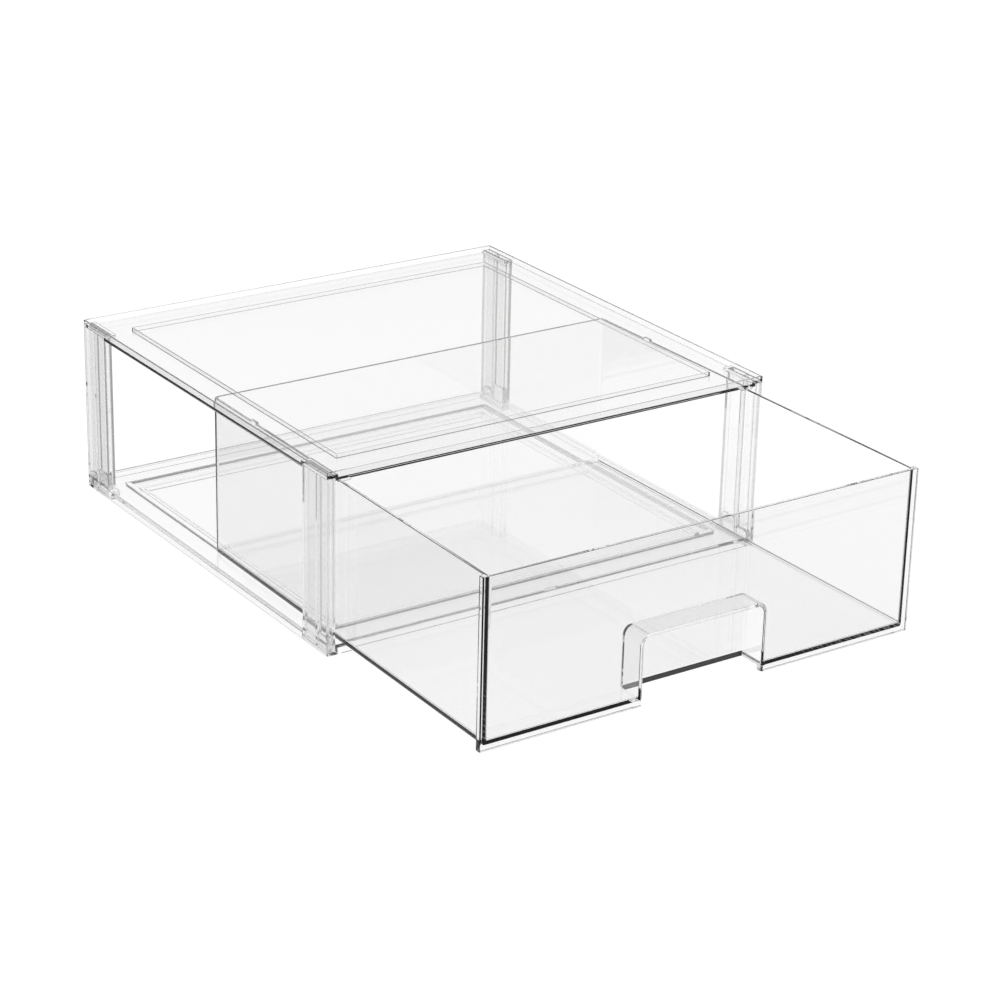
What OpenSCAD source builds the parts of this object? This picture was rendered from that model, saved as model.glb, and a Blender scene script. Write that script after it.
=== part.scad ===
// Stackable drawer box. A top panel and a base panel stand on four corner posts,
// and one drawer slides between them. The sides and the back are open.
// +Z is up and the drawer pulls out towards -Y. The origin is the middle of the
// frame's footprint, on the surface that the box stands on.

/* [Frame] */
// Width of the frame across the front
frame_w = 300; // [240:1:380]
// Depth of the frame from front to back
frame_d = 292; // [240:1:380]
// Height from the lower edge of the base to the rim of the top
frame_h = 110; // [80:1:180]

/* [Panels] */
// Thickness of the base panel's sheet
sheet_t = 2.4; // [1.8:0.1:2.6]
// Thickness of the skirt that runs under the base panel's edge
skirt_t = 2; // [1.4:0.1:3]
// Height of the base panel's edge
base_edge_h = 6.2; // [5.8:0.1:9]
// Height of the top panel's edge, from the sheet's underside to the upper edge of the curb
top_edge_h = 5.6; // [5.2:0.1:8]
// Thickness of the top panel's sheet
roof_t = 1.7; // [1.4:0.1:2.2]
// Thickness of the curb that stands along the top panel's edge
curb_t = 1.2; // [0.8:0.1:3]
// Distance from the top panel's sides to the outside of its stacking rib
top_rim_side = 20.5; // [18:0.5:36]
// Distance from the top panel's front and back to the outside of its stacking rib
top_rim_end = 24.5; // [14:0.5:40]
// Height of the stacking rib above the top panel's sheet
rib_h = 2.6; // [2.2:0.1:2.8]
// Thickness of the stacking rib
rib_t = 0.8; // [0.6:0.1:2]
// Width of the base panel's rim along the sides, which carries the drawer
base_rim_side = 18; // [14:0.5:36]
// Width of the base panel's rim along the front and back
base_rim_end = 22; // [14:0.5:40]
// Depth of the sunk middle of the base panel
well_h = 2.4; // [1:0.1:2.8]

/* [Stacking foot] */
// Height of the foot ring below the base panel's edge
foot_h = 1.8; // [1:0.1:2]
// Thickness of the foot ring
foot_t = 2.4; // [1.6:0.1:4]
// Clearance between the foot ring and the inside of the rib of the box below it
foot_gap = 0.6; // [0.3:0.1:1.5]

/* [Posts] */
// Thickness of a post across the box
post_w = 5.4; // [4.6:0.1:7]
// Length of a post along the side of the box
post_l = 27; // [20:0.5:40]
// Wall of the hollow posts
post_wall = 1.4; // [1:0.1:1.6]
// Distance from a post's outer end to the middle of its inner web
post_web_at = 12.5; // [10:0.5:16]
// Depth of a post's seat in the base panel
base_seat = 4; // [2:0.1:4.4]
// Depth of a post's seat in the top panel
top_seat = 1.8; // [1:0.1:3]
// Thickness of the roof over a post in the top panel
seat_roof = 1.6; // [1:0.1:2]
// Clearance between a post and the inner walls of its seats
seat_gap = 0.2; // [0.1:0.05:0.4]
// Wall of the seats round a post
seat_wall = 2; // [1.4:0.1:3]

/* [Pegs] */
// Clearance between a peg and the hollow of its post
peg_gap = 0.2; // [0.1:0.05:0.3]
// Rounding of a peg's free corners
peg_r = 2.6; // [1:0.1:3]
// Height of the base panel's peg at the outer end of each post
base_peg_outer = 9; // [5:0.5:30]
// Height of the base panel's peg at the inner end of each post
base_peg_inner = 14; // [5:0.5:30]

/* [Drawer] */
// Thickness of the drawer's walls
drawer_wall = 1.9; // [1.5:0.1:3.5]
// Depth of the drawer's front along its sides and its lower edge
front_t = 4.3; // [3.5:0.1:6]
// Thickness of the drawer's front inside the tray
front_web = 2.4; // [1.8:0.1:3.4]
// Width by which the drawer's front stands out past each side wall
front_lap = 2.7; // [0.5:0.1:5]
// Thickness of the drawer's floor
drawer_floor = 2.5; // [1.8:0.1:3.5]
// Rounding of the drawer's upright inner corners
drawer_r = 1.5; // [0.5:0.1:4]
// Clearance between the drawer's side walls and the posts, at each side
side_gap = 2; // [0.5:0.1:4]
// Amount that each side runs in from the drawer's front to its back
side_taper = 3.5; // [0:0.1:7]
// Clearance between the drawer's upper edge and the top panel's sheet
drawer_top_gap = 1.5; // [0.8:0.1:4]
// Clearance between the drawer's front and the frame when it is shut
front_gap = 0.5; // [0.2:0.1:1.5]
// Distance from the drawer's back to the frame's back when it is shut
rear_inset = 3.3; // [0:0.1:20]
// Amount that the drawer's front hangs below its floor
front_drop = 2.6; // [1:0.1:4]

/* [Drawer stops] */
// Length of the stop nub on the upper edge of each side wall
stop_l = 6; // [4:0.5:16]
// Distance from the drawer's back to the middle of the stop nubs
stop_at = 48.5; // [20:0.5:90]
// Clearance between the stop nubs and the top panel's sheet
nub_gap = 0.2; // [0.1:0.1:0.3]
// Length of each stop lip along the top panel's front edge
lip_l = 8; // [6:0.5:20]
// Thickness of the stop lips under the top panel's front edge
lip_t = 2; // [1:0.1:4]
// Clearance between the drawer's upper edge and the stop lips
lip_gap = 0.3; // [0.2:0.1:0.4]

/* [Finger recess] */
// Width of the finger recess in the drawer's front
pull_w = 81; // [60:1:120]
// Height of the finger recess above the lower edge of the front
pull_h = 39.4; // [25:0.1:60]
// Depth of the finger recess behind the drawer's front face
pull_depth = 18; // [12:0.5:30]
// Rounding of the finger recess's upper corners
pull_r = 4; // [1:0.5:8]
// Thickness of the walls of the finger recess
pull_wall = 2.5; // [1.8:0.1:3.5]

/* [Gate recess] */
// Width of the small recess for the moulding gate in the base panel's front edge
gate_w = 9; // [4:0.5:16]
// Height of the gate recess below the base panel's upper face
gate_h = 1.2; // [0.6:0.1:1.8]
// Depth of the gate recess behind the base panel's front face
gate_d = 1.2; // [0.6:0.1:3]

/* [Pose] */
// Distance that the drawer stands open
drawer_out = 141; // [0:1:230]

/* [Hidden] */
$fn = 48;
past = 1;
clear_plastic = [0.93, 0.95, 0.96, 0.5];

half_w = frame_w / 2;
half_d = frame_d / 2;
base_low = foot_h;
base_top = base_low + base_edge_h;
roof_top = base_low + frame_h;
roof_low = roof_top - top_edge_h;

rib_w = frame_w - 2 * top_rim_side;
rib_d = frame_d - 2 * top_rim_end;
well_w = frame_w - 2 * base_rim_side;
well_d = frame_d - 2 * base_rim_end;
foot_w = rib_w - 2 * rib_t - 2 * foot_gap;
foot_d = rib_d - 2 * rib_t - 2 * foot_gap;

post_low = base_top - base_seat;
post_top = roof_low + top_seat;
// The two hollows of a post, as distances from the post's outer end
outer_cell = [post_wall, post_web_at - post_wall / 2];
inner_cell = [post_web_at + post_wall / 2, post_l - post_wall];

drawer_low = base_top;
drawer_high = roof_low - drawer_top_gap;
front_low = drawer_low - front_drop;
front_y = -half_d - front_gap - front_t;
rear_y = half_d - rear_inset;
// Half the width of the side walls' outside, at the front and at the back
front_half = half_w - post_w - side_gap;
rear_half = front_half - side_taper;
side_slope = side_taper / (rear_y - front_y);
stop_y = rear_y - stop_at;
stop_half = front_half - side_slope * (stop_y + stop_l / 2 - front_y);
pull_top = front_low + pull_h;

// A block centred on the Z axis, between two heights
module slab(w, d, z_low, z_high) {
  translate([-w / 2, -d / 2, z_low]) cube([w, d, z_high - z_low]);
}

// Places its children, drawn at the corner on +X and +Y, at the corner with the given signs
module at_corner(side, end) {
  mirror([1 - side, 0, 0]) mirror([0, 1 - end, 0]) children();
}

module at_each_corner() {
  for (side = [-1, 1], end = [-1, 1]) at_corner(side, end) children();
}

// A block in the corner on +X and +Y that reaches in from both outer faces
module corner_block(w, d, z_low, z_high) {
  translate([half_w - w, half_d - d, z_low]) cube([w, d, z_high - z_low]);
}

// A rectangular ring centred on the Z axis, with the given size outside, between two heights
module ring(w, d, t, z_low, z_high) {
  difference() {
    slab(w, d, z_low, z_high);
    slab(w - 2 * t, d - 2 * t, z_low - past, z_high + past);
  }
}

// The solid blocks round the posts' seats in a panel's corners
module seat_blocks(z_low, z_high) {
  at_each_corner() corner_block(post_w + seat_wall, post_l + seat_wall, z_low, z_high);
}

// The corner cut that a post stands in, open towards the outside
module seat_cut(z_low, z_high) {
  at_each_corner() translate([past, past, 0])
    corner_block(post_w + seat_gap + past, post_l + seat_gap + past, z_low, z_high);
}

module peg_outline(length, height) {
  square([length, height - peg_r]);
  translate([peg_r, 0]) square([length - 2 * peg_r, height]);
  for (x = [peg_r, length - peg_r]) translate([x, height - peg_r]) circle(peg_r);
}

// A flat peg that fills one hollow of the post on +X and +Y, standing on z = 0
module peg(cell, height) {
  peg_t = post_w - 2 * post_wall - 2 * peg_gap;
  translate([half_w - post_wall - peg_gap - peg_t, half_d - cell[1] + peg_gap, 0])
    rotate([90, 0, 90]) linear_extrude(peg_t)
      peg_outline(cell[1] - cell[0] - 2 * peg_gap, height);
}

// A lip beside each front post, under the top panel's front edge, which stops the drawer
module stop_lips() {
  for (side = [0, 1]) mirror([side, 0, 0])
    translate([half_w - post_w - seat_wall - lip_l, -half_d, drawer_high + lip_gap])
      cube([lip_l, lip_t, roof_low + roof_t / 2 - drawer_high - lip_gap]);
}

// A moulded sheet with a curb along its edge, a stacking rib, and solid corners for the posts
module top_panel() {
  color(clear_plastic) difference() {
    union() {
      slab(frame_w, frame_d, roof_low, roof_low + roof_t);
      ring(frame_w, frame_d, curb_t, roof_low, roof_top);
      ring(rib_w, rib_d, rib_t, roof_low + roof_t / 2, roof_low + roof_t + rib_h);
      seat_blocks(roof_low, post_top + seat_roof);
      stop_lips();
    }
    seat_cut(roof_low - past, post_top);
  }
}

module gate_recess() {
  translate([-gate_w / 2, -half_d - past, base_top - gate_h])
    cube([gate_w, gate_d + past, gate_h + past]);
}

// A moulded sheet with a skirt under its edge, a sunk middle and solid corners for the posts.
// The foot ring drops inside the rib of the box below.
module base_panel() {
  color(clear_plastic) {
    difference() {
      union() {
        slab(frame_w, frame_d, base_top - sheet_t, base_top);
        ring(frame_w, frame_d, skirt_t, base_low, base_top);
        slab(well_w + 2 * sheet_t, well_d + 2 * sheet_t, base_top - well_h - sheet_t, base_top);
        seat_blocks(base_low, base_top);
        ring(foot_w, foot_d, foot_t, 0, base_top - sheet_t / 2);
      }
      slab(well_w, well_d, base_top - well_h, base_top + past);
      seat_cut(post_low, base_top + past);
      gate_recess();
    }
    translate([0, 0, post_low]) at_each_corner() {
      peg(outer_cell, base_peg_outer);
      peg(inner_cell, base_peg_inner);
    }
  }
}

// A hollow post with one inner web, open at both ends
module post(side, end) {
  color(clear_plastic) at_corner(side, end) difference() {
    corner_block(post_w, post_l, post_low, post_top);
    for (cell = [outer_cell, inner_cell])
      translate([half_w - post_w + post_wall, half_d - cell[1], post_low - past])
        cube([post_w - 2 * post_wall, cell[1] - cell[0], post_top - post_low + 2 * past]);
  }
}

// The side walls' outline from above: they run in towards the back
module tray_outline() {
  polygon([
    [-front_half, front_y], [front_half, front_y], [rear_half, rear_y], [-rear_half, rear_y]
  ]);
}

// The hollow's outline from above, inside the walls and with rounded corners
module hollow_outline() {
  lean = sqrt(1 + side_slope * side_slope);
  y_near = front_y + front_web + drawer_r;
  y_far = rear_y - drawer_wall - drawer_r;
  x_near = front_half - side_slope * (y_near - front_y) - (drawer_wall + drawer_r) * lean;
  x_far = front_half - side_slope * (y_far - front_y) - (drawer_wall + drawer_r) * lean;
  out_x = drawer_r / lean;
  out_y = drawer_r * side_slope / lean;
  for (side = [0, 1]) mirror([side, 0]) {
    polygon([
      [0, y_near - drawer_r], [x_near, y_near - drawer_r], [x_near + out_x, y_near + out_y],
      [x_far + out_x, y_far + out_y], [x_far, y_far + drawer_r], [0, y_far + drawer_r]
    ]);
    translate([x_near, y_near]) circle(drawer_r);
    translate([x_far, y_far]) circle(drawer_r);
  }
}

// A block with rounded upper edges that runs back from the drawer's front
module arch_block(w, z_low, z_high, y_low, y_high, r) {
  translate([0, y_high, z_low]) rotate([90, 0, 0]) linear_extrude(y_high - y_low) {
    translate([-w / 2, 0]) square([w, z_high - z_low - r]);
    translate([-w / 2 + r, 0]) square([w - 2 * r, z_high - z_low]);
    for (side = [-1, 1]) translate([side * (w / 2 - r), z_high - z_low - r]) circle(r);
  }
}

// The drawer's front, which stands out past the side walls and hangs below the floor
module front_plate() {
  plate_half = front_half + front_lap;
  translate([-plate_half, front_y, front_low])
    cube([2 * plate_half, front_t, drawer_high - front_low]);
}

// A nub on each side wall's upper edge, which meets a stop lip at full travel
module stop_nubs() {
  for (side = [0, 1]) mirror([side, 0, 0])
    translate([stop_half - drawer_wall, stop_y - stop_l / 2, drawer_high])
      cube([drawer_wall, stop_l, roof_low - nub_gap - drawer_high]);
}

module drawer() {
  color(clear_plastic) translate([0, -drawer_out, 0]) difference() {
    union() {
      difference() {
        union() {
          translate([0, 0, drawer_low]) linear_extrude(drawer_high - drawer_low) tray_outline();
          front_plate();
        }
        translate([0, 0, drawer_low + drawer_floor])
          linear_extrude(drawer_high - drawer_low) hollow_outline();
      }
      arch_block(pull_w + 2 * pull_wall, drawer_low, pull_top + pull_wall,
                 front_y + front_web / 2, front_y + pull_depth + pull_wall, pull_r + pull_wall);
      stop_nubs();
    }
    arch_block(pull_w, front_low - past, pull_top, front_y - past, front_y + pull_depth, pull_r);
  }
}

top_panel();
base_panel();
post(-1, -1);  // post_front_left
post(1, -1);  // post_front_right
post(-1, 1);  // post_back_left
post(1, 1);  // post_back_right
drawer();
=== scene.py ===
"""Stackable drawer box: the clear mouldings of the box and a pale studio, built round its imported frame."""

import itertools
import math

import bmesh
import bpy
from bpy.props import FloatProperty, FloatVectorProperty, IntProperty, PointerProperty
from bpy.types import Operator, Panel, PropertyGroup
from mathutils import Matrix, Vector


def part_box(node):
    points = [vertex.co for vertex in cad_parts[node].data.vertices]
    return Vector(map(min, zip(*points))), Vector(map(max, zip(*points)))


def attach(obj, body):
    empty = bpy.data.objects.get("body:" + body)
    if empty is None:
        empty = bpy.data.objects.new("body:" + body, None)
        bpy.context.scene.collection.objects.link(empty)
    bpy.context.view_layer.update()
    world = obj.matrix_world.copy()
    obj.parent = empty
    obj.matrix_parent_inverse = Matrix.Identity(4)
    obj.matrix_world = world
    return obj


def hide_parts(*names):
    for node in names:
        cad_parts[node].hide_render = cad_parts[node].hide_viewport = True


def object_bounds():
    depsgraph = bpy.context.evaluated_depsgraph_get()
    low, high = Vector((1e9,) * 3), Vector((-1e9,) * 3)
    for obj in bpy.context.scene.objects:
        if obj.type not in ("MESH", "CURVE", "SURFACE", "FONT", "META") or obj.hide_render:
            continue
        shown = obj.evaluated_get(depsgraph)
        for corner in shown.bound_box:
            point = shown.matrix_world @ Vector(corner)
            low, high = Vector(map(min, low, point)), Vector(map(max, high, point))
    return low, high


bl_info = {
    "name": "Stackable drawer box",
    "version": (1, 0, 0),
    "blender": (4, 5, 0),
    "location": "View3D > Sidebar > Drawer Box",
    "description": "Builds the clear mouldings of a stackable drawer box round its frame",
    "category": "Object",
}

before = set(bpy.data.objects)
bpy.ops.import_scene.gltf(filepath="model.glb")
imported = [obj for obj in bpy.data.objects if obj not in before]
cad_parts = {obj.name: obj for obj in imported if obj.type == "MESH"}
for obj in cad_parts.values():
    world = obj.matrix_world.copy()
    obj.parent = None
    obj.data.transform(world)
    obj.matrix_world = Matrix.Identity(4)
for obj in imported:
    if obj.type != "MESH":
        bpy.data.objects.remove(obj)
CAD_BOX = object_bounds()

# Places that the frame gives, in metres. Z = 0 is the surface that the box stands on.
TOP_LOW, TOP_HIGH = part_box("top_panel")
BASE_LOW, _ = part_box("base_panel")
POST_LOW, POST_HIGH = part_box("post_back_right")
TRAY_LOW, TRAY_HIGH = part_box("drawer")

SIDES = (-1, 1)
PAST = 0.001  # how far a cutter runs past the face that it opens, and a peg into its panel
SAME = 1e-6  # points this close are one
FLAT = math.cos(math.radians(2))  # a face whose normal is this near to an axis is flat
UPRIGHT = 0.3  # a rounding whose normals rise less than this is upright
NEAR = 0.3  # faces whose normals agree by this much run into each other smoothly
LARGE = 2  # the drawer's corners have this many times the steps of a small rounding
ARCHED = 3  # and the corners of the pegs and the finger recess have this many times
BOUNCED = 0.5  # a count of bounces above this is one or more
PASSES = 28  # faces that a ray may cross or be mirrored by
SOFT_PASSES = 40  # faces that soft light and shadows may pass
SENSOR = 36.0  # width of the camera's sensor in mm
SIGHT = (0.01, 100.0)  # the nearest and the farthest that the camera sees


# ---------------------------------------------------------------------------
# Sizes, finish and studio


def length(name, description, default):
    """A size in metres."""
    return FloatProperty(name=name, description=description, default=default, min=0.0,
                         precision=5, unit="LENGTH")


def number(name, description, default):
    """A plain number from 0 up."""
    return FloatProperty(name=name, description=description, default=default, min=0.0)


def share(name, description, default):
    """A plain number from 0 to 1."""
    return FloatProperty(name=name, description=description, default=default, min=0.0,
                         max=1.0, subtype="FACTOR")


def degrees(name, description, default):
    """An angle, with its default in degrees."""
    return FloatProperty(name=name, description=description, default=math.radians(default),
                         subtype="ANGLE")


def colour(name, description, default):
    """A linear colour."""
    return FloatVectorProperty(name=name, description=description, default=default,
                               size=3, min=0.0, max=1.0, subtype="COLOR")


class DrawerBoxPanels(PropertyGroup):
    """Sizes of the top and base mouldings."""

    sheet: length("Sheet", "Thickness of the base panel's sheet", 0.0024)
    skirt: length("Skirt", "Thickness of the skirt under the base panel's edge", 0.002)
    top_edge: length("Top edge", "Height of the top panel's edge", 0.0056)
    base_edge: length("Base edge", "Height of the base panel's edge", 0.0062)
    roof: length("Roof", "Thickness of the top panel's sheet", 0.0017)
    curb: length("Curb", "Thickness of the curb along the top panel's edge", 0.0012)
    top_rim_side: length("Top rim, sides", "Distance from the sides to the stacking rib", 0.0205)
    top_rim_end: length("Top rim, ends", "Distance from the ends to the stacking rib", 0.0245)
    rib_height: length("Rib height", "Height of the stacking rib above the sheet", 0.0026)
    rib: length("Rib", "Thickness of the stacking rib", 0.0008)
    lip: length("Lip", "Thickness of the stop lips under the top panel's front edge", 0.002)
    lip_length: length("Lip length", "Length of each stop lip", 0.008)
    lip_height: length("Lip height", "Height of the stop lips", 0.0012)
    base_rim_side: length("Base rim, sides", "Width of the base panel's rim at the sides", 0.018)
    base_rim_end: length("Base rim, ends", "Width of the base panel's rim at front and back", 0.022)
    dish: length("Dish", "Depth of the sunk middle of the base panel", 0.0024)
    foot: length("Foot", "Height of the foot ring below the base panel's edge", 0.0018)
    foot_ring: length("Foot ring", "Thickness of the foot ring", 0.0024)
    foot_gap: length("Foot gap", "Clearance of the foot ring in the rib of a box below", 0.0006)
    gate_width: length("Gate width", "Width of the gate recess in the front edge", 0.009)
    gate_size: length("Gate size", "Height and depth of the gate recess", 0.0012)


class DrawerBoxPosts(PropertyGroup):
    """Sizes of the posts, their seats and the pegs inside them."""

    wall: length("Wall", "Wall of the hollow posts", 0.0014)
    web_at: length("Web", "Distance from a post's outer end to its inner web", 0.0125)
    seat_wall: length("Seat wall", "Wall of the seats round a post", 0.002)
    seat_roof: length("Seat roof", "Thickness of the top panel over the posts", 0.0016)
    seat_gap: length("Seat gap", "Clearance between a post and its seats", 0.0002)
    peg_gap: length("Peg gap", "Clearance between a peg and its hollow", 0.0002)
    peg_round: length("Peg rounding", "Rounding of a peg's free corners", 0.0026)
    base_peg_outer: length("Base peg, outer", "Height of the base's outer peg", 0.009)
    base_peg_inner: length("Base peg, inner", "Height of the base's inner peg", 0.014)


class DrawerBoxDrawer(PropertyGroup):
    """Sizes of the drawer."""

    wall: length("Wall", "Thickness of the walls", 0.0019)
    floor: length("Floor", "Thickness of the floor", 0.0025)
    front: length("Front", "Depth of the front along its sides and lower edge", 0.0043)
    web: length("Front's middle", "Thickness of the front inside the tray", 0.0024)
    lap: length("Lap", "Amount that the front reaches past each side wall", 0.0027)
    taper: length("Taper", "Amount that each side runs in towards the back", 0.0035)
    drop: length("Front drop", "Amount that the front hangs below the floor", 0.0026)
    stop_height: length("Stop height", "Height of the stop nubs", 0.0013)
    stop_length: length("Stop length", "Length of the stop nubs", 0.006)
    stop_at: length("Stop place", "Distance from the back to the middle of the nubs", 0.0485)
    pull_width: length("Recess width", "Width of the finger recess", 0.081)
    pull_height: length("Recess height", "Height of the finger recess", 0.0394)
    pull_depth: length("Recess depth", "Depth of the finger recess", 0.018)
    pull_wall: length("Recess wall", "Thickness of the walls of the finger recess", 0.0025)
    pull_round: length("Recess rounding", "Rounding of the recess's upper corners", 0.004)


class DrawerBoxEdges(PropertyGroup):
    """Roundings that the moulds leave, and the gaps between pieces that only touch."""

    upright: length("Upright corners", "Rounding of upright outer corners", 0.0005)
    hollow: length("Inner corners", "Rounding of the base's and posts' inner corners", 0.0006)
    tray: length("Tray corners", "Rounding of the drawer's inner corners", 0.0015)
    tray_outer: length("Rear corners", "Rounding of the drawer's and recess's rear", 0.003)
    tray_low: length("Tray lower edge", "Rounding of the drawer's lower edge", 0.0015)
    front: length("Front's corners", "Rounding of the front's upright corners", 0.0009)
    mouth: length("Recess mouth", "Rounding of the finger recess's front edge", 0.002)
    fine: length("Top's edges", "Rounding of the top panel's edge and of the nubs", 0.0003)
    root: length("Rib edges", "Rounding of the rib, of its foot and of the stop lips", 0.0002)
    rim: length("Edges", "Rounding of the other edges", 0.0004)
    air: length("Air gap", "Air between faces that rest on each other", 0.00005)
    steps: IntProperty(name="Steps", description="Faces across a rounding", default=4, min=1)


class DrawerBoxPlastic(PropertyGroup):
    """Finish of the clear plastic, and the painted shade on its upright corners."""

    panel_tint: colour("Panel tint", "Colour of the top and base", (0.998, 0.998, 0.998))
    post_tint: colour("Post tint", "Colour of the posts", (0.998, 0.998, 0.998))
    drawer_tint: colour("Drawer tint", "Colour of the drawer", (0.998, 0.998, 0.998))
    # Painted shade: these darken the tint of the upright roundings to stand in for the dark lines that
    # refraction draws at the corners.
    frame_painted_shade: share("Corner tone, frame", "Light through the frame's upright corners", 0.85)
    drawer_painted_shade: share("Corner tone, drawer", "Light through the drawer's upright corners", 0.5)
    ior: number("IOR", "Refraction of clear polystyrene", 1.59)
    depth_grey: number("Depth", "Absorption in a metre of plastic", 1.0)
    passed: share("Passed", "Soft light and lamplight that passes each face", 0.985)
    haze: share("Haze", "Roughness where the surface is most handled", 0.03)
    haze_scale: number("Haze scale", "Handling marks across a metre", 60.0)
    haze_detail: number("Haze detail", "Layers of ever finer handling marks", 6.0)
    haze_grain: share("Haze grain", "Strength of each finer layer against the last", 0.65)
    haze_from: share("Haze from", "Level of the marks where the haze begins", 0.48)
    haze_full: share("Haze full", "Level of the marks where the haze is full", 0.72)
    flow: share("Flow", "Strength of the waves that the flowing plastic leaves", 0.02)
    flow_scale: number("Flow scale", "Waves across a metre", 9.0)
    flow_detail: number("Flow detail", "Layers of ever finer waves", 2.0)
    flow_height: length("Flow height", "Height of the waves", 0.001)


class DrawerBoxStudio(PropertyGroup):
    """Floor, light and camera."""

    floor_size: length("Floor size", "Width of the floor", 40.0)
    floor_gap: length("Floor gap", "Gap between the floor and the foot ring", 0.0001)
    floor_colour: colour("Floor colour", "Colour of the floor", (0.8, 0.8, 0.8))
    floor_lift: share("Floor lift", "White that lenses and glass see on the floor", 0.38)
    # Painted reflection: the floor outside the box is darker only where the outer faces mirror it.
    mirrored_side: share("Mirrored, sides", "Level of the floor that the sides mirror", 0.6)
    mirrored_front: share("Mirrored, front", "Level of the floor that the front mirrors", 0.3)
    ambient: share("Ambient", "Level of the light from all round", 0.55)
    sun: number("Sun", "Strength of the soft overhead light", 1.4)
    sun_width: degrees("Sun width", "Angle that the soft light fills", 60)
    sun_back: degrees("Sun back", "Angle that the light leans to the back", 20)
    sun_side: degrees("Sun side", "Angle that the light leans to the side", -15)
    dome_from: degrees("Dark from", "Height angle where the dome dims", 40)
    dome_to: degrees("Dark at", "Height angle where the dome is dark", 52)
    dome_dark: share("Dome dark", "Level of the dark part of the dome", 0.02)
    lens: number("Lens", "Focal length in mm", 107.79)
    azimuth: degrees("Azimuth", "Camera's angle from the front", -34.37)
    elevation: degrees("Elevation", "Camera's angle above the floor", 22.58)
    roll: degrees("Roll", "Camera's tilt about its view", 1.376)
    distance: length("Distance", "Distance from the camera to its target", 1.849)
    target: FloatVectorProperty(name="Target", description="Point that the camera looks at",
                                default=(0.0458, -0.0256, 0.0114), size=3, unit="LENGTH")


# ---------------------------------------------------------------------------
# Mesh tools


def rounded_rectangle(centre, half, radius, steps):
    """Points (x, y) of a rectangle with rounded corners, anticlockwise."""
    points = []
    for turn, (sx, sy) in enumerate(((1, 1), (-1, 1), (-1, -1), (1, -1))):
        for step in range(steps + 1):
            angle = (turn + step / steps) * math.pi / 2
            points.append((centre[0] + sx * (half[0] - radius) + radius * math.cos(angle),
                           centre[1] + sy * (half[1] - radius) + radius * math.sin(angle)))
    return points


def sign(value):
    """1 for a number above 0, -1 for one below it and 0 for 0."""
    return (value > 0) - (value < 0)


def lathe(bends, steps, centre=(0.0, 0.0)):
    """Rings round a rectangle that follow a stepped profile out from the middle and back to it.

    A bend is (half width, half depth, z, rounding of the bend, rounding of the upright corner).
    """
    rings = []
    for index, (wide, deep, z, radius, corner) in enumerate(bends):
        before = bends[index - 1] if index else None
        after = bends[index + 1] if index + 1 < len(bends) else None
        if before is None or before[0] != wide:
            come = (sign(wide - before[0]) if before else 1, 0)
        else:
            come = (0, sign(z - before[2]))
        if after is None or after[0] != wide:
            go = (sign(after[0] - wide) if after else -1, 0)
        else:
            go = (0, sign(after[2] - z))
        arc = [i / steps * math.pi / 2 for i in range(steps + 1)] if radius else [0.0]
        for angle in arc:
            out, up = (
                radius * (go[k] - come[k] + come[k] * math.sin(angle) - go[k] * math.cos(angle))
                for k in (0, 1)
            )
            ring = rounded_rectangle(centre, (wide + out, deep + out), corner + out, steps)
            rings.append([(x, y, z + up) for x, y in ring])
    return rings


def box_between(low, high, rims, corner, steps):
    """Rings of a box whose lower and upper edges are rounded by rims and whose uprights by corner."""
    centre = [(low[a] + high[a]) / 2 for a in range(2)]
    half = [(high[a] - low[a]) / 2 for a in range(2)]
    bends = [(*half, high[2], rims[1], corner), (*half, low[2], rims[0], corner)]
    return lathe(bends, steps, centre)


def arch_outline(half, low, high, radius, steps):
    """Points (across, up) of an outline with a flat foot and rounded upper corners."""
    points = [(half, low)]
    for turn, side in enumerate((1, -1)):
        for step in range(steps + 1):
            angle = (turn + step / steps) * math.pi / 2
            points.append((side * (half - radius) + radius * math.cos(angle),
                           high - radius + radius * math.sin(angle)))
    return points + [(-half, low)]


def arch(axis, centre, half, low, high, radius, ends, rims, steps):
    """Rings of an arch that runs along X (axis 0) or Y (axis 1) between two ends.

    A rim rounds the outline in at its end by that much, and a negative rim flares it out.
    """
    stations = []
    for end, rim, way in zip(ends, rims, (1, -1)):
        arc = [i / steps * math.pi / 2 for i in range(steps + 1)] if rim else [math.pi / 2]
        row = [(end + way * abs(rim) * (1 - math.cos(t)), rim * (1 - math.sin(t))) for t in arc]
        stations += row if way > 0 else row[::-1]
    rings = []
    for along, inset in stations:
        outline = arch_outline(half - inset, low, high - inset, radius - inset, ARCHED * steps)
        if axis:
            rings.append([(centre + u, along, v) for u, v in outline])
        else:
            rings.append([(along, centre + u, v) for u, v in outline])
    return rings


def add_object(name, data):
    """A new object in the scene."""
    thing = bpy.data.objects.new(name, data)
    bpy.context.scene.collection.objects.link(thing)
    return thing


def solid(name, *skins):
    """An object of closed skins, each given by its rings of points."""
    bm = bmesh.new()
    for rings in skins:
        rows = [[bm.verts.new(point) for point in ring] for ring in rings]
        count = len(rows[0])
        for near, far in zip(rows, rows[1:]):
            for i in range(count):
                j = (i + 1) % count
                bm.faces.new((near[i], near[j], far[j], far[i]))
        bm.faces.new(rows[0])
        bm.faces.new(rows[-1])
    bmesh.ops.remove_doubles(bm, verts=bm.verts, dist=SAME)
    bmesh.ops.recalc_face_normals(bm, faces=bm.faces)
    mesh = bpy.data.meshes.new(name)
    bm.to_mesh(mesh)
    bm.free()
    return add_object(name, mesh)


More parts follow.
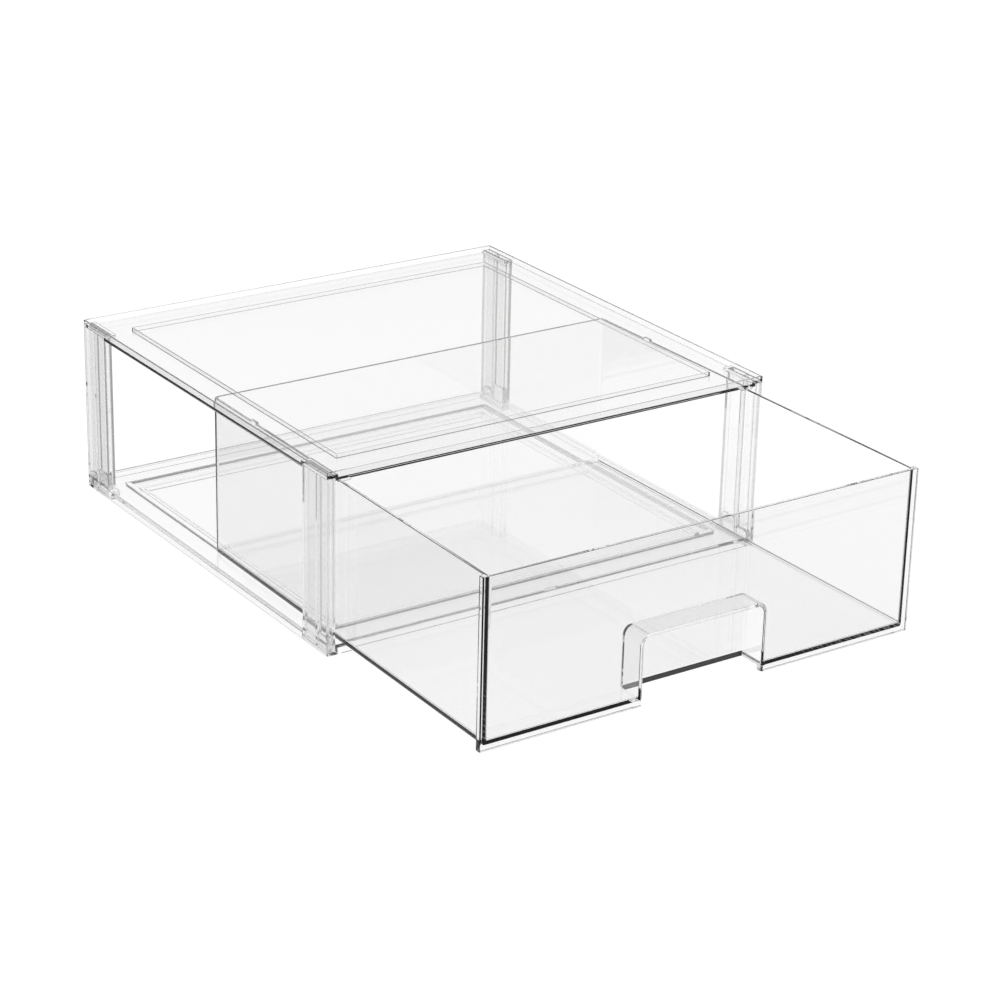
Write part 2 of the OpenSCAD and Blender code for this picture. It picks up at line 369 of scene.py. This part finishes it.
def carve(piece, *tools):
    """Joins and cuts solids in turn. A tool is ("UNION" or "DIFFERENCE", solid)."""
    for operation, tool in tools:
        modifier = piece.modifiers.new(tool.name, "BOOLEAN")
        modifier.operation = operation
        modifier.solver = "EXACT"
        modifier.object = tool
    graph = bpy.context.evaluated_depsgraph_get()
    mesh = bpy.data.meshes.new_from_object(piece.evaluated_get(graph))
    piece.modifiers.clear()
    piece.data = mesh
    for _, tool in tools:
        bpy.data.objects.remove(tool)


def is_flat(face):
    """True for a face square to an axis, and for the drawer's sides, which run in a little."""
    return max(abs(part) for part in face.normal) > FLAT


def corner_normals(bm):
    """A normal for each face corner: flat faces stay flat and roundings run smoothly into them."""
    flat = {face: is_flat(face) for face in bm.faces}
    normals = []
    for face in bm.faces:
        for loop in face.loops:
            if flat[face]:
                normals.append(face.normal.copy())
                continue
            near = [f for f in loop.vert.link_faces if f.normal.dot(face.normal) > NEAR]
            level = [f.normal for f in near if flat[f]]
            parts = level or [f.normal * f.calc_area() for f in near]
            normals.append(sum(parts, Vector()).normalized())
    return normals


def is_upright_rounding(face):
    """True for a face of a rounding whose axis is upright."""
    return not is_flat(face) and abs(face.normal.z) < UPRIGHT


def finish_mesh(piece, material, painted_shade_material):
    """Cleans a finished mesh, sets its normals and gives it its two materials: the plain plastic, and a
    darker copy on the upright roundings that is painted shade.
    """
    bm = bmesh.new()
    bm.from_mesh(piece.data)
    bmesh.ops.remove_doubles(bm, verts=bm.verts, dist=SAME)
    bmesh.ops.dissolve_degenerate(bm, edges=bm.edges, dist=SAME)
    bmesh.ops.delete(bm, geom=[edge for edge in bm.edges if edge.is_wire], context="EDGES")
    bm.normal_update()
    if not all(edge.is_manifold for edge in bm.edges):
        raise RuntimeError(f"{piece.name} isn't closed")
    normals = corner_normals(bm)
    for face in bm.faces:
        # The upright roundings take the second, darker material, which is painted shade for the dark lines
        # that the corners' refraction draws.
        face.material_index = int(is_upright_rounding(face))
    bm.to_mesh(piece.data)
    bm.free()
    piece.data.name = piece.name
    piece.data.shade_smooth()
    piece.data.normals_split_custom_set(normals)
    piece.data.materials.clear()
    piece.data.materials.append(material)
    piece.data.materials.append(painted_shade_material)


# ---------------------------------------------------------------------------
# Materials


def empty_tree(owner):
    """The nodes and links of a material or world, with nothing in them yet."""
    owner.use_nodes = True
    owner.node_tree.nodes.clear()
    return owner.node_tree.nodes, owner.node_tree.links


def maths(nodes, links, operation, *values):
    """The result of a maths node. A value is a number or the output of another node."""
    node = nodes.new("ShaderNodeMath")
    node.operation = operation
    for socket, value in zip(node.inputs, values):
        if isinstance(value, bpy.types.NodeSocket):
            links.new(value, socket)
        else:
            socket.default_value = value
    return node.outputs[0]


def moulding_group(plastic):
    """Slow waves in the plastic, and the haze that hands and dust leave on it."""
    name = "moulded_surface"
    if name in bpy.data.node_groups:
        return bpy.data.node_groups[name]
    group = bpy.data.node_groups.new(name, "ShaderNodeTree")
    for socket_name, way, default in (
        ("Flow scale", "INPUT", plastic.flow_scale),
        ("Mark scale", "INPUT", plastic.haze_scale),
        ("Flow", "OUTPUT", 0.0),
        ("Marks", "OUTPUT", 0.0),
    ):
        socket = group.interface.new_socket(socket_name, in_out=way,
                                            socket_type="NodeSocketFloat")
        socket.default_value = default
    nodes, links = group.nodes, group.links
    source = nodes.new("NodeGroupInput")
    target = nodes.new("NodeGroupOutput")
    place = nodes.new("ShaderNodeTexCoord")
    waves = nodes.new("ShaderNodeTexNoise")
    waves.inputs["Detail"].default_value = plastic.flow_detail
    marks = nodes.new("ShaderNodeTexNoise")
    marks.inputs["Detail"].default_value = plastic.haze_detail
    marks.inputs["Roughness"].default_value = plastic.haze_grain
    handled = nodes.new("ShaderNodeMapRange")
    handled.interpolation_type = "SMOOTHSTEP"
    handled.inputs["From Min"].default_value = plastic.haze_from
    handled.inputs["From Max"].default_value = plastic.haze_full
    links.new(place.outputs["Object"], waves.inputs["Vector"])
    links.new(place.outputs["Object"], marks.inputs["Vector"])
    links.new(source.outputs["Flow scale"], waves.inputs["Scale"])
    links.new(source.outputs["Mark scale"], marks.inputs["Scale"])
    links.new(marks.outputs["Fac"], handled.inputs["Value"])
    links.new(waves.outputs["Fac"], target.inputs["Flow"])
    links.new(handled.outputs["Result"], target.inputs["Marks"])
    return group


def clear_plastic(name, tint, plastic):
    """Clear glossy plastic that greys with depth. Lamps and soft light pass through it."""
    if name in bpy.data.materials:
        return bpy.data.materials[name]
    material = bpy.data.materials.new(name)
    nodes, links = empty_tree(material)
    surface = nodes.new("ShaderNodeGroup")
    surface.node_tree = moulding_group(plastic)

    shade = nodes.new("ShaderNodeMix")
    shade.data_type = "RGBA"
    shade.inputs["A"].default_value = (*tint, 1.0)
    shade.inputs["B"].default_value = (*[c * c for c in tint], 1.0)
    rough = nodes.new("ShaderNodeMapRange")
    rough.inputs["To Min"].default_value = 0.0
    rough.inputs["To Max"].default_value = plastic.haze
    bump = nodes.new("ShaderNodeBump")
    bump.inputs["Strength"].default_value = plastic.flow
    bump.inputs["Distance"].default_value = plastic.flow_height
    shader = nodes.new("ShaderNodeBsdfPrincipled")
    shader.inputs["Transmission Weight"].default_value = 1.0
    shader.inputs["IOR"].default_value = plastic.ior
    links.new(surface.outputs["Marks"], shade.inputs["Factor"])
    links.new(surface.outputs["Marks"], rough.inputs["Value"])
    links.new(surface.outputs["Flow"], bump.inputs["Height"])
    links.new(shade.outputs["Result"], shader.inputs["Base Color"])
    links.new(rough.outputs["Result"], shader.inputs["Roughness"])
    links.new(bump.outputs["Normal"], shader.inputs["Normal"])

    path = nodes.new("ShaderNodeLightPath")
    passed = nodes.new("ShaderNodeBsdfTransparent")
    passed.inputs["Color"].default_value = (*[plastic.passed] * 3, 1.0)
    choose = nodes.new("ShaderNodeMixShader")
    depth = nodes.new("ShaderNodeVolumeAbsorption")
    depth.inputs["Color"].default_value = (0.0, 0.0, 0.0, 1.0)
    depth.inputs["Density"].default_value = plastic.depth_grey
    out = nodes.new("ShaderNodeOutputMaterial")
    soft = maths(nodes, links, "MAXIMUM", path.outputs["Is Shadow Ray"],
                 path.outputs["Is Diffuse Ray"])
    links.new(soft, choose.inputs["Fac"])
    links.new(shader.outputs["BSDF"], choose.inputs[1])
    links.new(passed.outputs["BSDF"], choose.inputs[2])
    links.new(choose.outputs["Shader"], out.inputs["Surface"])
    links.new(depth.outputs["Volume"], out.inputs["Volume"])
    return material


# ---------------------------------------------------------------------------
# Pieces


def finish_piece(piece, kind, tint, tone, plastic, body, node):
    """Finishes a piece, hides the node that it replaces and moves it with its body."""
    # The corner tint is the plastic's tint times the tone, which is painted shade on the upright roundings.
    painted_shade_tint = [part * tone for part in tint]
    finish_mesh(piece, clear_plastic(f"{kind}_plastic", tint, plastic),
                clear_plastic(f"{kind}_corner_plastic", painted_shade_tint, plastic))
    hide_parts(node)
    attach(piece, body)


def at_corners(low, high):
    """A box drawn at the corner on +X and +Y, and its mirror images at the other corners."""
    for side, end in itertools.product(SIDES, SIDES):
        xs = sorted((side * low[0], side * high[0]))
        ys = sorted((end * low[1], end * high[1]))
        yield (xs[0], ys[0], low[2]), (xs[1], ys[1], high[2])


def corner_blocks(box, z_low, z_high):
    """Solid corners round the seats of the posts."""
    posts, edges = box.posts, box.edges
    low = (POST_LOW.x - posts.seat_wall, POST_LOW.y - posts.seat_wall, z_low)
    high = (TOP_HIGH.x - box.panels.skirt / 2, TOP_HIGH.y - box.panels.skirt / 2, z_high)
    return solid("corner_blocks", *(
        box_between(a, b, (edges.rim, 0.0), edges.upright, edges.steps)
        for a, b in at_corners(low, high)
    ))


def seat_cutters(box, z_low, z_high):
    """What is cut from a panel's corners, open towards the outside, for the posts."""
    posts, edges = box.posts, box.edges
    low = (POST_LOW.x - posts.seat_gap, POST_LOW.y - posts.seat_gap, z_low)
    high = (TOP_HIGH.x + PAST, TOP_HIGH.y + PAST, z_high)
    return solid("seats", *(
        box_between(a, b, (0.0, 0.0), edges.rim, edges.steps) for a, b in at_corners(low, high)
    ))


def post_cells(posts):
    """The near and far ends of a post's two hollows, from the post's outer end."""
    post_l = POST_HIGH.y - POST_LOW.y
    return ((posts.wall, posts.web_at - posts.wall / 2),
            (posts.web_at + posts.wall / 2, post_l - posts.wall))


def pegs(box, seat):
    """Two flat pegs with rounded upper corners that stand in each seat of the base."""
    posts, edges = box.posts, box.edges
    heights = (posts.base_peg_outer, posts.base_peg_inner)
    x_low = POST_LOW.x + posts.wall + posts.peg_gap
    x_high = POST_HIGH.x - posts.wall - posts.peg_gap
    skins = []
    for (near, far), height in zip(post_cells(posts), heights):
        half = (far - near) / 2 - posts.peg_gap
        middle = POST_HIGH.y - (near + far) / 2
        for side, end in itertools.product(SIDES, SIDES):
            rings = arch(0, end * middle, half, -PAST, height, posts.peg_round,
                         (x_low, x_high), (edges.rim, edges.rim), edges.steps)
            skins.append([[(side * x, y, seat + z) for x, y, z in ring] for ring in rings])
    return solid("pegs", *skins)


def stop_lips(box, z_low):
    """A lip beside each front post, under the top panel's edge, that the drawer's nubs meet."""
    panels, posts, edges = box.panels, box.posts, box.edges
    far = POST_LOW.x - posts.seat_wall
    skins = []
    for side in SIDES:
        xs = sorted((side * far, side * (far - panels.lip_length)))
        low = (xs[0], TOP_LOW.y, z_low - panels.lip_height)
        high = (xs[1], TOP_LOW.y + panels.lip, z_low + panels.roof / 2)
        skins.append(box_between(low, high, (edges.root, 0.0), edges.root, edges.steps))
    return solid("stop_lips", *skins)


def make_top_panel(box):
    """The top panel, with its curb, stacking rib, stop lips and the seats for the posts."""
    panels, posts, edges, plastic = box.panels, box.posts, box.edges, box.plastic
    fine, root, upright = edges.fine, edges.root, edges.upright
    z_top = TOP_HIGH.z
    z_low = z_top - panels.top_edge
    z_sheet = z_low + panels.roof
    z_rib = z_sheet + panels.rib_height
    outer = (TOP_HIGH.x, TOP_HIGH.y)
    curb = (outer[0] - panels.curb, outer[1] - panels.curb)
    rib_out = (outer[0] - panels.top_rim_side, outer[1] - panels.top_rim_end)
    rib_in = (rib_out[0] - panels.rib, rib_out[1] - panels.rib)
    rib_corner, curb_corner = 2 * root, 2 * fine
    piece = solid("top_moulding", lathe((
        (*rib_in, z_sheet, root, rib_corner),
        (*rib_in, z_rib, root, rib_corner),
        (*rib_out, z_rib, root, upright),
        (*rib_out, z_sheet, root, upright),
        (*curb, z_sheet, root, rib_corner),
        (*curb, z_top, fine, curb_corner),
        (*outer, z_top, fine, upright),
        (*outer, z_low, fine, upright),
    ), edges.steps))
    seat = POST_HIGH.z
    carve(piece,
          ("UNION", corner_blocks(box, z_low, seat + posts.seat_roof)),
          ("UNION", stop_lips(box, z_low)),
          ("DIFFERENCE", seat_cutters(box, z_low - PAST, seat)))
    finish_piece(piece, "panel", plastic.panel_tint, plastic.frame_painted_shade, plastic, "frame",
                 "top_panel")


def make_base_panel(box):
    """The base panel, with its well, foot ring, gate recess and seats and pegs for the posts."""
    panels, edges, plastic = box.panels, box.edges, box.plastic
    rim, hollow, upright = edges.rim, edges.hollow, edges.upright
    inner_corner = upright + hollow
    z_low = panels.foot
    z_top = z_low + panels.base_edge
    z_under = z_top - panels.sheet
    z_well = z_top - panels.dish
    z_bottom = z_well - panels.sheet
    outer = (TOP_HIGH.x, TOP_HIGH.y)
    inner = (outer[0] - panels.skirt, outer[1] - panels.skirt)
    well = (outer[0] - panels.base_rim_side, outer[1] - panels.base_rim_end)
    under = (well[0] + panels.sheet, well[1] + panels.sheet)
    foot = (outer[0] - panels.top_rim_side - panels.rib - panels.foot_gap,
            outer[1] - panels.top_rim_end - panels.rib - panels.foot_gap)
    foot_in = (foot[0] - panels.foot_ring, foot[1] - panels.foot_ring)
    piece = solid("base_moulding", lathe((
        (*well, z_well, hollow, inner_corner),
        (*well, z_top, rim, inner_corner),
        (*outer, z_top, rim, upright),
        (*outer, z_low, rim, upright),
        (*inner, z_low, rim, inner_corner),
        (*inner, z_under, hollow, inner_corner),
        (*under, z_under, hollow, inner_corner),
        (*under, z_bottom, rim, inner_corner),
        (*foot, z_bottom, hollow, inner_corner),
        (*foot, BASE_LOW.z, rim, inner_corner),
        (*foot_in, BASE_LOW.z, rim, inner_corner),
        (*foot_in, z_bottom, hollow, inner_corner),
    ), edges.steps))
    seat = POST_LOW.z
    gate_low = (-panels.gate_width / 2, BASE_LOW.y - PAST, z_top - panels.gate_size)
    gate_high = (panels.gate_width / 2, BASE_LOW.y + panels.gate_size, z_top + PAST)
    gate = solid("gate", box_between(gate_low, gate_high, (rim, 0.0), rim, edges.steps))
    carve(piece,
          ("UNION", corner_blocks(box, z_low, z_top - panels.sheet / 2)),
          ("DIFFERENCE", seat_cutters(box, seat, z_top + PAST)),
          ("DIFFERENCE", gate),
          ("UNION", pegs(box, seat)))
    finish_piece(piece, "panel", plastic.panel_tint, plastic.frame_painted_shade, plastic, "frame",
                 "base_panel")


def make_post(box, name, side, end):
    """A hollow post with one inner web, open at both ends."""
    posts, edges, plastic = box.posts, box.edges, box.plastic
    rim, steps = edges.rim, edges.steps
    z_low, z_high = POST_LOW.z + edges.air, POST_HIGH.z - edges.air
    xs = sorted((side * POST_LOW.x, side * POST_HIGH.x))
    ys = sorted((end * POST_LOW.y, end * POST_HIGH.y))
    piece = solid(f"{name}_moulding", box_between((xs[0], ys[0], z_low), (xs[1], ys[1], z_high),
                                                  (rim, rim), edges.upright, steps))
    half_x = (POST_HIGH.x - POST_LOW.x) / 2 - posts.wall
    cells = []
    for near, far in post_cells(posts):
        half_y = (far - near) / 2
        centre = (sum(xs) / 2, end * (POST_HIGH.y - (near + far) / 2))
        flare = (half_x + rim, half_y + rim)
        cells.append(lathe((
            (*flare, z_high + PAST, 0.0, edges.hollow + rim),
            (half_x, half_y, z_high, rim, edges.hollow),
            (half_x, half_y, z_low, rim, edges.hollow),
            (*flare, z_low - PAST, 0.0, edges.hollow + rim),
        ), steps, centre))
    carve(piece, ("DIFFERENCE", solid("cells", *cells)))
    finish_piece(piece, "post", plastic.post_tint, plastic.frame_painted_shade, plastic, "frame", name)


def run_sides_in(piece, tray):
    """Moves the side walls in towards the back of the drawer."""
    slope = tray.taper / (TRAY_HIGH.y - TRAY_LOW.y)
    wall_from = TRAY_HIGH.x / 2
    for vert in piece.data.vertices:
        if abs(vert.co.x) > wall_from:
            vert.co.x -= math.copysign(slope * (vert.co.y - TRAY_LOW.y), vert.co.x)
    return piece


def tray_block(half, front, back, z_low, z_high, edges):
    """A block with rounded edges whose forward roundings are pressed flat at the front."""
    radius = edges.tray_outer
    rings = box_between((-half, front - 2 * radius, z_low), (half, back, z_high),
                        (edges.tray_low, edges.rim), radius, LARGE * edges.steps)
    return solid("drawer_moulding", [[(x, max(y, front), z) for x, y, z in ring] for ring in rings])


def tray_hollow(half, front, back, z_floor, z_high, edges):
    """What is cut out of the block, with a flared upper edge."""
    centre = (0.0, (front + back) / 2)
    deep = (back - front) / 2
    radius, rim = edges.tray, edges.rim
    return solid("hollow", lathe((
        (half + rim, deep + rim, z_high + PAST, 0.0, radius + rim),
        (half, deep, z_high, rim, radius),
        (half, deep, z_floor, radius, radius),
    ), LARGE * edges.steps, centre))


def make_drawer(box):
    """The drawer: tray, front, finger recess and stop nubs in one moulding."""
    tray, edges, plastic = box.drawer, box.edges, box.plastic
    rim, steps = edges.rim, edges.steps
    front, back = TRAY_LOW.y, TRAY_HIGH.y
    z_low = TRAY_LOW.z + tray.drop + edges.air
    z_floor = TRAY_LOW.z + tray.drop + tray.floor
    z_high = TRAY_HIGH.z - tray.stop_height
    half = TRAY_HIGH.x - tray.lap
    inside = front + tray.web
    piece = run_sides_in(tray_block(half, front + tray.web / 2, back, z_low, z_high, edges), tray)
    hollow = run_sides_in(
        tray_hollow(half - tray.wall, inside, back - tray.wall, z_floor, z_high, edges), tray)
    plate = solid("front", box_between((-TRAY_HIGH.x, front, TRAY_LOW.z),
                                       (TRAY_HIGH.x, front + tray.front, z_high),
                                       (rim, rim), edges.front, LARGE * steps))
    pull_half = tray.pull_width / 2
    pull_back = front + tray.pull_depth
    pull_top = TRAY_LOW.z + tray.pull_height
    shell = solid("recess_shell", arch(
        1, 0.0, pull_half + tray.pull_wall, z_floor - tray.floor / 2, pull_top + tray.pull_wall,
        tray.pull_round + tray.pull_wall, (front + tray.web / 2, pull_back + tray.pull_wall),
        (0.0, edges.tray_outer), steps))
    void = solid("recess", arch(
        1, 0.0, pull_half, TRAY_LOW.z - PAST, pull_top, tray.pull_round,
        (front, pull_back), (-edges.mouth, rim), steps))
    stop = back - tray.stop_at
    nubs = []
    for side in SIDES:
        xs = sorted((side * (half - tray.wall), side * half))
        nubs.append(box_between((xs[0], stop - tray.stop_length / 2, z_high - tray.wall),
                                (xs[1], stop + tray.stop_length / 2, TRAY_HIGH.z),
                                (0.0, edges.fine), edges.fine, steps))
    carve(piece, ("UNION", plate), ("DIFFERENCE", hollow), ("UNION", shell),
          ("DIFFERENCE", void), ("UNION", run_sides_in(solid("nubs", *nubs), tray)))
    finish_piece(piece, "drawer", plastic.drawer_tint, plastic.drawer_painted_shade, plastic, "drawer",
                 "drawer")


# ---------------------------------------------------------------------------
# Studio


def seen_by_lenses(nodes, links):
    """A value of 1 for camera, mirror and glass rays, and 0 for the light that falls on things."""
    path = nodes.new("ShaderNodeLightPath")
    direct = maths(nodes, links, "MAXIMUM", path.outputs["Is Camera Ray"],
                   path.outputs["Is Glossy Ray"])
    return maths(nodes, links, "MAXIMUM", direct, path.outputs["Is Transmission Ray"])


def outside_box(nodes, links, levels):
    """How much darker the floor is painted outside the box's outline, at the sides and at the ends."""
    place = nodes.new("ShaderNodeTexCoord")
    parts = nodes.new("ShaderNodeSeparateXYZ")
    links.new(place.outputs["Object"], parts.inputs["Vector"])
    darker = []
    for axis, (name, level) in enumerate(zip("XY", levels)):
        low, high = CAD_BOX[0][axis], CAD_BOX[1][axis]
        away = maths(nodes, links, "SUBTRACT", parts.outputs[name], (low + high) / 2)
        span = maths(nodes, links, "ABSOLUTE", away)
        outside = maths(nodes, links, "GREATER_THAN", span, (high - low) / 2)
        darker.append(maths(nodes, links, "MULTIPLY", outside, 1.0 - level))
    return maths(nodes, links, "MAXIMUM", *darker)


def mirrored_level(nodes, links, levels):
    """The floor's level: 1 as seen directly, and darker where it is mirrored by an outer face, which is a
    painted darker reflection.
    """
    path = nodes.new("ShaderNodeLightPath")
    mirrored = maths(nodes, links, "GREATER_THAN", path.outputs["Glossy Depth"], BOUNCED)
    darker = maths(nodes, links, "MULTIPLY", mirrored, outside_box(nodes, links, levels))
    return maths(nodes, links, "SUBTRACT", 1.0, darker)


def floor_material(studio):
    """A pale floor that keeps shadows and looks white to the lens and through the plastic."""
    material = bpy.data.materials.new("pale_floor")
    nodes, links = empty_tree(material)
    level = mirrored_level(nodes, links, (studio.mirrored_side, studio.mirrored_front))
    seen = maths(nodes, links, "MULTIPLY", seen_by_lenses(nodes, links), studio.floor_lift)
    tone = nodes.new("ShaderNodeVectorMath")
    tone.operation = "SCALE"
    tone.inputs[0].default_value = studio.floor_colour
    pale = nodes.new("ShaderNodeBsdfDiffuse")
    lift = nodes.new("ShaderNodeEmission")
    both = nodes.new("ShaderNodeAddShader")
    out = nodes.new("ShaderNodeOutputMaterial")
    links.new(level, tone.inputs["Scale"])
    links.new(tone.outputs["Vector"], pale.inputs["Color"])
    links.new(maths(nodes, links, "MULTIPLY", seen, level), lift.inputs["Strength"])
    links.new(pale.outputs["BSDF"], both.inputs[0])
    links.new(lift.outputs["Emission"], both.inputs[1])
    links.new(both.outputs["Shader"], out.inputs["Surface"])
    return material


def make_floor(studio):
    """The floor, a hair below the foot ring."""
    bm = bmesh.new()
    bmesh.ops.create_grid(bm, x_segments=1, y_segments=1, size=studio.floor_size / 2)
    mesh = bpy.data.meshes.new("floor")
    bm.to_mesh(mesh)
    bm.free()
    mesh.materials.append(floor_material(studio))
    floor = add_object("floor", mesh)
    floor.location.z = CAD_BOX[0][2] - studio.floor_gap


def make_world(studio):
    """A white surround whose upper part is dark for mirror and glass rays, which draws the edges."""
    world = bpy.data.worlds.new("studio")
    bpy.context.scene.world = world
    nodes, links = empty_tree(world)
    way = nodes.new("ShaderNodeTexCoord")
    parts = nodes.new("ShaderNodeSeparateXYZ")
    dome = nodes.new("ShaderNodeMapRange")
    dome.interpolation_type = "SMOOTHSTEP"
    dome.inputs["From Min"].default_value = math.sin(studio.dome_from)
    dome.inputs["From Max"].default_value = math.sin(studio.dome_to)
    dome.inputs["To Min"].default_value = 1.0
    dome.inputs["To Max"].default_value = studio.dome_dark
    choose = nodes.new("ShaderNodeMix")
    choose.inputs["A"].default_value = studio.ambient
    background = nodes.new("ShaderNodeBackground")
    out = nodes.new("ShaderNodeOutputWorld")
    links.new(way.outputs["Generated"], parts.inputs["Vector"])
    links.new(parts.outputs["Z"], dome.inputs["Value"])
    links.new(seen_by_lenses(nodes, links), choose.inputs["Factor"])
    links.new(dome.outputs["Result"], choose.inputs["B"])
    links.new(choose.outputs["Result"], background.inputs["Strength"])
    links.new(background.outputs["Background"], out.inputs["Surface"])


def make_sun(studio):
    """A wide soft light from overhead."""
    lamp = bpy.data.lights.new("softbox", "SUN")
    lamp.energy = studio.sun
    lamp.angle = studio.sun_width
    add_object("softbox", lamp).rotation_euler = (studio.sun_back, studio.sun_side, 0.0)


def make_camera(studio):
    """The camera, on its sphere round the target."""
    data = bpy.data.cameras.new("camera")
    data.lens = studio.lens
    data.sensor_width = SENSOR
    data.clip_start, data.clip_end = SIGHT
    camera = add_object("camera", data)
    turn = (Matrix.Rotation(studio.azimuth, 4, "Z")
            @ Matrix.Rotation(math.pi / 2 - studio.elevation, 4, "X")
            @ Matrix.Rotation(studio.roll, 4, "Z"))
    back = turn.to_3x3() @ Vector((0.0, 0.0, studio.distance))
    camera.matrix_world = Matrix.Translation(Vector(studio.target) + back) @ turn
    bpy.context.scene.camera = camera


def set_view(scene):
    """Plain colours, and enough passes for light to cross every wall of the box."""
    scene.view_settings.view_transform = "Standard"
    scene.cycles.max_bounces = PASSES
    scene.cycles.transmission_bounces = PASSES
    scene.cycles.glossy_bounces = PASSES
    scene.cycles.transparent_max_bounces = SOFT_PASSES


# ---------------------------------------------------------------------------
# Add-on


class DrawerBox(PropertyGroup):
    """Everything that can be set on the drawer box."""

    panels: PointerProperty(type=DrawerBoxPanels)
    posts: PointerProperty(type=DrawerBoxPosts)
    drawer: PointerProperty(type=DrawerBoxDrawer)
    edges: PointerProperty(type=DrawerBoxEdges)
    plastic: PointerProperty(type=DrawerBoxPlastic)
    studio: PointerProperty(type=DrawerBoxStudio)


class DRAWERBOX_OT_top(Operator):
    """Build the top panel"""

    bl_idname = "drawerbox.top"
    bl_label = "Top Panel"

    def execute(self, context):
        make_top_panel(context.scene.drawer_box)
        return {"FINISHED"}


class DRAWERBOX_OT_base(Operator):
    """Build the base panel"""

    bl_idname = "drawerbox.base"
    bl_label = "Base Panel"

    def execute(self, context):
        make_base_panel(context.scene.drawer_box)
        return {"FINISHED"}


class DRAWERBOX_OT_posts(Operator):
    """Build the four corner posts"""

    bl_idname = "drawerbox.posts"
    bl_label = "Corner Posts"

    def execute(self, context):
        for (row, end), (column, side) in itertools.product(
                (("front", -1), ("back", 1)), (("left", -1), ("right", 1))):
            make_post(context.scene.drawer_box, f"post_{row}_{column}", side, end)
        return {"FINISHED"}


class DRAWERBOX_OT_drawer(Operator):
    """Build the drawer"""

    bl_idname = "drawerbox.drawer"
    bl_label = "Drawer"

    def execute(self, context):
        make_drawer(context.scene.drawer_box)
        return {"FINISHED"}


class DRAWERBOX_OT_studio(Operator):
    """Build the floor, the light and the camera"""

    bl_idname = "drawerbox.studio"
    bl_label = "Studio"

    def execute(self, context):
        studio = context.scene.drawer_box.studio
        make_floor(studio)
        make_world(studio)
        make_sun(studio)
        make_camera(studio)
        set_view(context.scene)
        return {"FINISHED"}


class DRAWERBOX_PT_panel(Panel):
    """Builds the drawer box, piece by piece"""

    bl_idname = "DRAWERBOX_PT_panel"
    bl_label = "Drawer Box"
    bl_space_type = "VIEW_3D"
    bl_region_type = "UI"
    bl_category = "Drawer Box"

    def draw(self, context):
        column = self.layout.column()
        for operator in OPERATORS:
            column.operator(operator.bl_idname)


OPERATORS = (
    DRAWERBOX_OT_top,
    DRAWERBOX_OT_base,
    DRAWERBOX_OT_posts,
    DRAWERBOX_OT_drawer,
    DRAWERBOX_OT_studio,
)
CLASSES = (
    DrawerBoxPanels,
    DrawerBoxPosts,
    DrawerBoxDrawer,
    DrawerBoxEdges,
    DrawerBoxPlastic,
    DrawerBoxStudio,
    DrawerBox,
    *OPERATORS,
    DRAWERBOX_PT_panel,
)


def register():
    for cls in CLASSES:
        bpy.utils.register_class(cls)
    bpy.types.Scene.drawer_box = PointerProperty(type=DrawerBox)


def unregister():
    del bpy.types.Scene.drawer_box
    for cls in reversed(CLASSES):
        bpy.utils.unregister_class(cls)


def main():
    register()
    bpy.ops.drawerbox.top()
    bpy.ops.drawerbox.base()
    bpy.ops.drawerbox.posts()
    bpy.ops.drawerbox.drawer()
    bpy.ops.drawerbox.studio()


if __name__ == "__main__":
    main()
